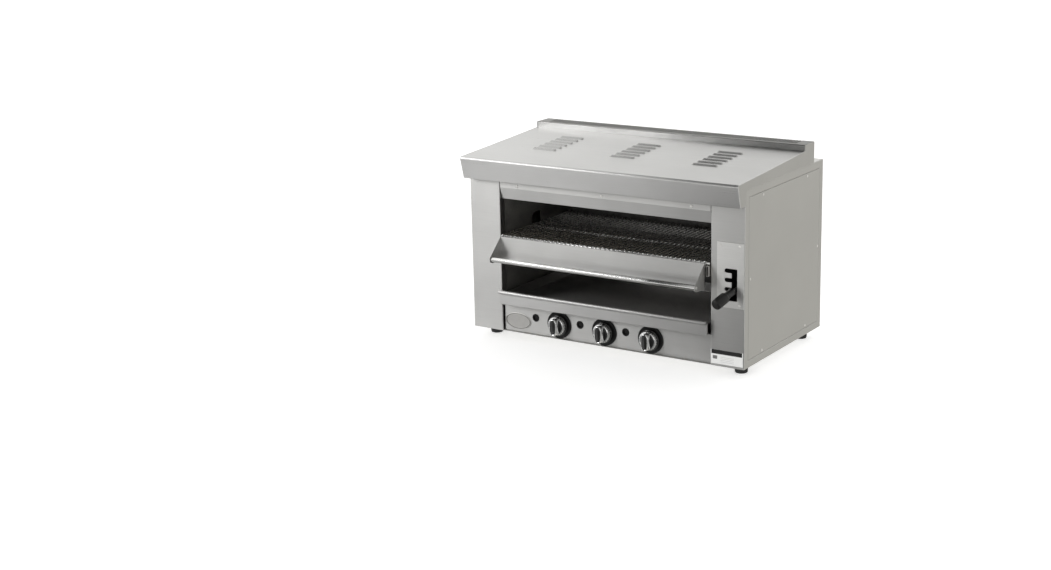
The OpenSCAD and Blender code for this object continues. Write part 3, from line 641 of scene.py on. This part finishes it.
def make_tray():
    """A pressed pan with round corners, and a front sheet rolled over at the top."""
    half = 345.8

    def loop(bm, inset, z, radius):
        verts = []
        x, y0, y1 = half - inset, -13.5 + inset, 391.8 - inset
        for cx, cy, start in ((x, y1, 0), (-x, y1, 90), (-x, y0, 180), (x, y0, 270)):
            sx, sy = (1 if cx > 0 else -1), (1 if cy > 0 else -1)
            for k in range(6):
                a = math.radians(start + 18 * k)
                verts.append(bm.verts.new(at(cx - sx * radius + radius * math.cos(a),
                                             cy - sy * radius + radius * math.sin(a), z)))
        return verts

    bm = bmesh.new()
    rings = [loop(bm, *v) for v in ((0, 120, 10), (0, 95, 10), (0.9, 91.4, 9.5), (3.2, 88.8, 8.5), (6.6, 88, 7))]
    for p, q in zip(rings, rings[1:]):
        for i in range(24):
            bm.faces.new((p[i], p[(i + 1) % 24], q[(i + 1) % 24], q[i]))
    bm.faces.new(rings[-1])
    pan = piece("drip_tray_pan", bm, "pan", "tray", ["drip_tray"], 40)
    thicken(pan, 1.2, -1)
    edge_bevel(pan, 0.4)
    flatten_shading(pan)

    turns = [math.radians(a) for a in range(78, 300, 18)]
    bead = [(-21 + 5.4 * math.cos(a), 125.4 + 5.4 * math.sin(a)) for a in turns]
    path = rounded([(-14.6, 88.4), (-17, 88.4), (-17, 130.9), bead[0]], [1.0, 1.6], 4)[:-1] + bead
    bm = bmesh.new()
    folded(bm, path, [-349.3, -200, 0, 200, 349.3], lambda y, z, x: at(x, y, z))
    face = piece("drip_tray_front", bm, "tray", "tray", (), 40)
    thicken(face, 1.3)
    edge_bevel(face, 0.3)
    flatten_shading(face)


# ---------- rack ----------

def make_rack():
    """Chromed rods with round ends, welded on three cross bars."""
    z = 299
    bm = bmesh.new()
    end = [(0, 0), (1.4, 0.25), (2.3, 1.1), (2.75, 2.6)]
    length = 375
    profile = end + [(r, length - h) for r, h in reversed(end)]
    for i in range(46):
        lathe(bm, profile, at(-337.5 + 15 * i, -13, z), (0, 1, 0), 14)
    bar_z = z - 2.75 - 4 + 0.4
    bar = [(0, 0), (3, 0.4), (4, 1.6), (4, 698.4), (3, 699.6), (0, 700)]
    for y in (0, 150, 345):
        lathe(bm, bar, at(-350, y, bar_z), (1, 0, 0), 20)
        for i in range(46):
            blob = [(0, -3.4), (2.4, -2.4), (3.5, 0), (2.4, 2.4), (0, 3.4)]
            lathe(bm, blob, at(-337.5 + 15 * i, y, z - 2.6), (0, 1, 0), 8)
    piece("rack_rods", bm, "chrome", "rack", ["rack_grid"], 50)


def make_handle():
    low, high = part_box("rack_handle")
    c = centre("rack_handle")
    length = (high.x - low.x) / MM
    r = (high.z - low.z) / MM / 2
    plug = [(0, 1.0), (3.2, 1.0), (3.4, 0.1), (r - 1.6, 0), (r - 0.5, 0.5), (r, 1.8)]
    profile = plug + [(r, length * t) for t in (0.25, 0.5, 0.75)] + [(q, length - h) for q, h in reversed(plug)]
    bm = bmesh.new()
    lathe(bm, profile, Vector((low.x, c.y, c.z)), (1, 0, 0), 40)
    piece("handle_tube", bm, "handle", "rack", ["rack_handle"], 40)


# ---------- knobs and small trim ----------

def stadium(half_w, half_h, power=3.2, count=40):
    points = []
    for i in range(count):
        a = 2 * math.pi * i / count
        c, s = math.cos(a), math.sin(a)
        points.append((half_w * math.copysign(abs(c) ** (2 / power), c), half_h * math.copysign(abs(s) ** (2 / power), s)))
    return points


def capped(bm, middle, rings):
    """Stacked outlines, each (half width, half height, distance forward of the middle)."""
    loops = []
    for w, h, forward in rings:
        loops.append([bm.verts.new(middle + Vector((x * MM, -forward * MM, z * MM))) for x, z in stadium(w, h)])
    for p, q in zip(loops, loops[1:]):
        n = len(p)
        for i in range(n):
            bm.faces.new((p[i], p[(i + 1) % n], q[(i + 1) % n], q[i]))
    bm.faces.new(loops[-1])
    bm.faces.new(list(reversed(loops[0])))


def make_knobs():
    for side in ("left", "mid", "right"):
        node, body = "knob_" + side, "knob_" + side + "_body"
        low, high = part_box(node)
        c = centre(node)
        back = Vector((c.x, high.y, c.z))
        flutes = 22

        def scallop(a, r, h):
            return r - 0.9 * (0.5 - 0.5 * math.cos(flutes * a)) ** 2 if r > 26 else r

        bm = bmesh.new()
        lathe(bm, [(0, 0.2), (30.4, 0.2), (31, 0.9), (31, 5.6), (30.2, 6.6), (26.5, 7.4), (26, 7.8), (0, 8.0)],
              back, (0, -1, 0), 96)
        piece(node + "_skirt", bm, "knob", body, [node], 40)
        bm = bmesh.new()
        lathe(bm, [(24.5, 7.0), (28.3, 7.4), (29.0, 8.4), (28.4, 15.0), (27.0, 17.6), (24.2, 18.4), (22.6, 17.6),
                   (22.6, 9)], back, (0, -1, 0), 176, scallop)
        piece(node + "_ring", bm, "knob_chrome", body, (), 40)
        bm = bmesh.new()
        lathe(bm, [(0, 8), (23.4, 8), (23.4, 15.8), (22.0, 16.6), (0, 17.0)], back, (0, -1, 0), 64)
        piece(node + "_face", bm, "knob", body, (), 40)
        bm = bmesh.new()
        tip = Vector((c.x, low.y, c.z))
        capped(bm, tip, [(13.0, 25.4, -15.5), (12.4, 24.9, -4.0), (11.6, 24.3, -1.2), (10.8, 23.6, -0.3), (9.6, 22.6, 0),
                         (8.9, 21.9, -0.4), (8.7, 21.7, -1.6)])
        piece(node + "_grip_rim", bm, "knob_chrome", body, (), 40)
        bm = bmesh.new()
        capped(bm, tip, [(8.6, 21.6, -1.9), (8.5, 21.5, -1.1), (8.0, 21.0, -0.9)])
        capped(bm, tip, [(0.7, 20.2, -1.2), (0.6, 20.0, -0.45), (0.35, 19.8, -0.35)])
        piece(node + "_grip_inlay", bm, "knob", body, (), 40)


def make_bezels():
    c = centre("knob_bezels")
    low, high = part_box("knob_bezels")
    bm = bmesh.new()
    for side in ("left", "mid", "right"):
        x = centre("knob_" + side).x
        base = Vector((x, high.y, c.z))
        lathe(bm, [(7, 0), (40.2, 0), (41, 0.7), (41, 2.3), (40.0, 3.2), (37.0, 3.4), (35.6, 2.7), (33, 2.5), (8, 2.5),
                   (7, 2.2), (7, 0)], base, (0, -1, 0), 96)
    piece("bezel_discs", bm, "plastic", "chassis", ["knob_bezels"], 40)

    low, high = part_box("sight_plugs")
    z = (low.z + high.z) / 2
    bm = bmesh.new()
    for side in ("left", "mid", "right"):
        base = Vector((centre("knob_" + side).x - 83 * MM, low.y + 1.4 * MM, z))
        lathe(bm, [(7.6, -6), (9.6, -6), (9.6, 0), (11.8, 0), (12, 0.5), (11.4, 1.1), (9.2, 1.35), (8.0, 1.0), (7.6, 0),
                   (7.6, -6)], base, (0, -1, 0), 48)
        lathe(bm, [(0, -3.4), (7.7, -3.4), (7.7, -2.6), (6.6, -2.2), (0, -1.9)], base, (0, -1, 0), 32)
    piece("sight_plug_rings", bm, "plastic", "chassis", ["sight_plugs"], 40)


def oval_rings(bm, middle, w, h, rings):
    """Nested ovals, each (share of the full size, distance forward), joined into a band."""
    loops = []
    for share, forward in rings:
        turns = [2 * math.pi * i / 72 for i in range(72)]
        loops.append([bm.verts.new(middle + MM * Vector((w * share * math.cos(a), -forward, h * share * math.sin(a))))
                      for a in turns])
    for p, q in zip(loops, loops[1:]):
        for i in range(72):
            bm.faces.new((p[i], p[(i + 1) % 72], q[(i + 1) % 72], q[i]))
    return loops


def make_badge():
    low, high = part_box("badge")
    middle = Vector(((low.x + high.x) / 2, high.y, (low.z + high.z) / 2))
    w, h = (high.x - low.x) / MM / 2, (high.z - low.z) / MM / 2
    bm = bmesh.new()
    loops = oval_rings(bm, middle, w, h, [(1, 0), (1, 0.6), (0.975, 0.95), (0.945, 1.1), (0.915, 1.0), (0.9, 0.7),
                                          (0.86, 0.72), (0.5, 0.86), (0.2, 0.92)])
    bm.faces.new(loops[-1])
    bm.faces.new(list(reversed(loops[0])))
    piece("badge_plate", bm, "badge", "chassis", ["badge"], 40)
    bm = bmesh.new()
    # painted shade: a thin black band laid in the badge's groove stands for the shade in it
    oval_rings(bm, middle, w, h, [(0.94, 0.9), (0.93, 1.15), (0.9, 1.15), (0.89, 0.6)])
    piece("badge_groove_painted_shade", bm, "plastic", "chassis", (), 40)


def make_feet():
    bm = bmesh.new()
    for x in (-417, 417):
        for y in (62, 450):
            profile = [(0, 0.2), (13.5, 0.2), (14, 0), (16.6, 0), (17.8, 0.9), (18.4, 3), (19.4, 14), (20.6, 25.5),
                       (20.4, 27), (19.4, 27.8), (0, 27.9)]
            lathe(bm, profile, at(x, y, -28), (0, 0, 1), 48)
    piece("feet_rubber", bm, "rubber", "chassis", ["feet"], 40)


def make_grip():
    """Moulded two-part grip: a narrow sleeve, a bright ring and a swelling barrel."""
    start = at(426, -12, 245 - 18 * 440 / 428)
    way = Vector((-15, -73, -25))
    length = way.length
    bm = bmesh.new()
    lathe(bm, [(5.2, 2), (9.8, 2), (11, 3.2), (11, 28), (12.2, 33.5), (5.5, 34.0)], start, way, 40)
    lathe(bm, [(0, 34.6), (14.2, 34.6), (15.2, 35.6), (15.5, 38), (15.5, 72), (15.1, 75), (14, 77.2), (12.2, 78.2),
               (8, length - 0.2), (0, length)], start, way, 48)
    piece("lever_grip_barrel", bm, "grip", "lever_handle", ["lever_grip"], 50)
    bm = bmesh.new()
    lathe(bm, [(4, 33.9), (12.6, 33.9), (13.1, 34.3), (12.6, 34.8), (4, 34.8), (4, 33.9)], start, way, 40)
    piece("lever_grip_ring", bm, "screw", "lever_handle", (), 40)


def cross_head(bm, base, axis, radius, height):
    """A pan head with a cross recess."""
    turn = Vector(axis).to_track_quat("Z", "Y").to_matrix()
    rings, n = [], 24
    for share, h in ((1.0, 0), (1.0, 0.35), (0.93, 0.65), (0.76, 0.88), (0.55, 0.98), (0.38, 1.0), (0.2, 1.0)):
        ring = []
        for i in range(n):
            a = 2 * math.pi * i / n
            arm = abs(math.sin(2 * a)) < 0.35
            z = h * height - (0.45 * height if arm and share < 0.6 else (0.3 * height if share < 0.3 else 0))
            r = radius * share
            ring.append(bm.verts.new(base + turn @ Vector((r * math.cos(a) * MM, r * math.sin(a) * MM, z * MM))))
        rings.append(ring)
    for p, q in zip(rings, rings[1:]):
        for i in range(n):
            bm.faces.new((p[i], p[(i + 1) % n], q[(i + 1) % n], q[i]))
    bm.faces.new(rings[-1])
    bm.faces.new(list(reversed(rings[0])))


def make_screws():
    bm = bmesh.new()
    for x in (384, 442):
        for z in (183, 351):
            cross_head(bm, at(x, -2.5, z), (0, -1, 0), 3.9, 1.7)
    for x in (-290, 0, 290):
        cross_head(bm, at(x, 1, 449), (0, -1, 0), 3.9, 1.7)
    piece("front_screw_heads", bm, "screw", "chassis", ["front_screws"], 50)

    bm = bmesh.new()
    low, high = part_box("cover_screws")
    middle_y, middle_z = 251, 254
    spots = [(middle_y - 142, 478), (middle_y + 142, 478), (middle_y - 142, 30), (middle_y + 142, 30),
             (32, middle_z), (470, middle_z)]
    for y, z in spots:
        for side in (-1, 1):
            face = (high.x / MM - 1.6) * side
            cross_head(bm, at(face, y, z), (side, 0, 0), 3.9, 1.55)
    piece("cover_screw_heads", bm, "screw", "chassis", ["cover_screws"], 50)

    bm = bmesh.new()
    low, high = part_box("handle_screws")
    c = (low + high) / 2
    for side in (-1, 1):
        head = high.x if side > 0 else low.x
        cross_head(bm, Vector((head - side * 2.3 * MM, c.y, c.z)), (side, 0, 0), 4.8, 2.2)
    piece("handle_screw_heads", bm, "screw", "rack", ["handle_screws"], 50)


make_camera()
make_world()
make_floor()
soft_box("key", (-1.95, -2.3, 1.5), (-0.1, -0.2, 0.35), (1.2, 0.6), 15)
paint_nodes()
make_hood()
make_posts()
make_tray()
make_rack()
make_handle()
make_knobs()
make_bezels()
make_badge()
make_feet()
make_grip()
make_screws()

for name in ("side_casing_left", "side_casing_right", "side_cover_left", "side_cover_right", "gate_plate",
             "heat_deflector", "control_panel", "splash_panel", "back_panel", "flue_riser", "flue_grille"):
    soften(name, {"flue_grille": 0.3, "side_casing_left": 1.2, "side_casing_right": 1.2}.get(name, 0.6))

scene.view_settings.view_transform = "Standard"
scene.view_settings.look = "None"
